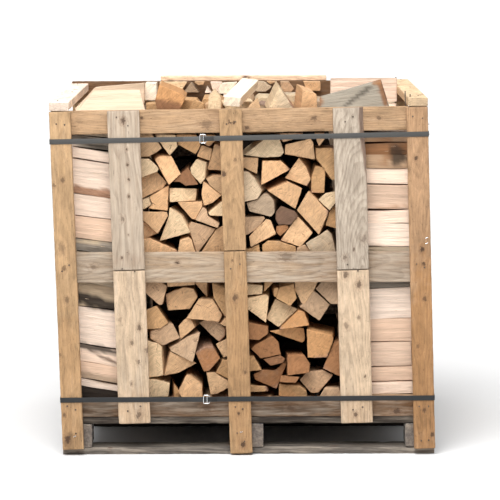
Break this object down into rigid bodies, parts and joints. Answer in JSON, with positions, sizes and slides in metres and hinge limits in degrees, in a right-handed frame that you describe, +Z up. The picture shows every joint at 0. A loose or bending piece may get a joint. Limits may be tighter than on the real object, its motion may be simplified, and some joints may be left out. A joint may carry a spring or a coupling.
{
  "type": "pallet of firewood",
  "caption": "Slatted softwood crate of split firewood on a block pallet, with a racked frame of posts, slats and rails, flat straps with wire buckles and loose logs on top.",
  "frame": {"origin": "on the floor under the centre of the bounding box", "axes": "+X to the right of the pictured front, +Y to the back, +Z up"},
  "size_m": [1.2313, 1.0548, 1.2],
  "materials": {
    "pallet_wood": "weathered grey sawn softwood",
    "post_wood": "rough sawn softwood, warm tan",
    "slat_wood": "rough sawn softwood, part greyed",
    "rail_wood": "rough sawn softwood, brown grey",
    "log_wood": "split and sawn firewood, dry",
    "bark_log": "split log with grey bark",
    "strap": "grey woven strapping",
    "buckle": "bright bent wire"
  },
  "bodies": {
    "root": {"block_back_centre": "pallet_wood", "block_back_left": "pallet_wood", "block_back_right": "pallet_wood", "block_front_centre": "pallet_wood", "block_front_left": "pallet_wood", "block_front_right": "pallet_wood", "block_middle_centre": "pallet_wood", "block_middle_left": "pallet_wood", "block_middle_right": "pallet_wood", "buckle_lower": "buckle", "buckle_upper": "buckle", "cap_left": "post_wood", "cap_right": "post_wood", "log_top_bark_quarter": "bark_log", "log_top_block": "log_wood", "log_top_pale_back": "log_wood", "log_top_pale_left": "log_wood", "log_top_pale_right": "log_wood", "log_top_wedge": "log_wood", "log_top_white": "log_wood", "logs_back": "log_wood", "logs_front_lower_left": "log_wood", "logs_front_lower_right": "log_wood", "logs_front_upper_left": "log_wood", "logs_front_upper_right": "log_wood", "logs_inner": "log_wood", "logs_left": "log_wood", "logs_right": "log_wood", "pallet_deck": "pallet_wood", "plank_back_top": "rail_wood", "post_back_centre": "post_wood", "post_back_left": "post_wood", "post_back_right": "post_wood", "post_front_centre_lower": "post_wood", "post_front_centre_upper": "post_wood", "post_front_left": "post_wood", "post_front_right": "post_wood", "rail_back_bottom": "rail_wood", "rail_back_middle": "rail_wood", "rail_back_top": "rail_wood", "rail_front_bottom": "rail_wood", "rail_front_middle": "rail_wood", "rail_front_top": "rail_wood", "rail_left_bottom": "rail_wood", "rail_left_middle": "rail_wood", "rail_right_bottom": "rail_wood", "rail_right_middle": "rail_wood", "skid_back": "pallet_wood", "skid_front": "pallet_wood", "skid_middle": "pallet_wood", "slat_back_left": "slat_wood", "slat_back_right": "slat_wood", "slat_front_left_lower": "slat_wood", "slat_front_left_upper": "slat_wood", "slat_front_right_lower": "slat_wood", "slat_front_right_upper": "slat_wood", "slat_left": "slat_wood", "slat_right": "slat_wood", "strap_lower": "strap", "strap_upper": "strap"}
  },
  "joints": []
}
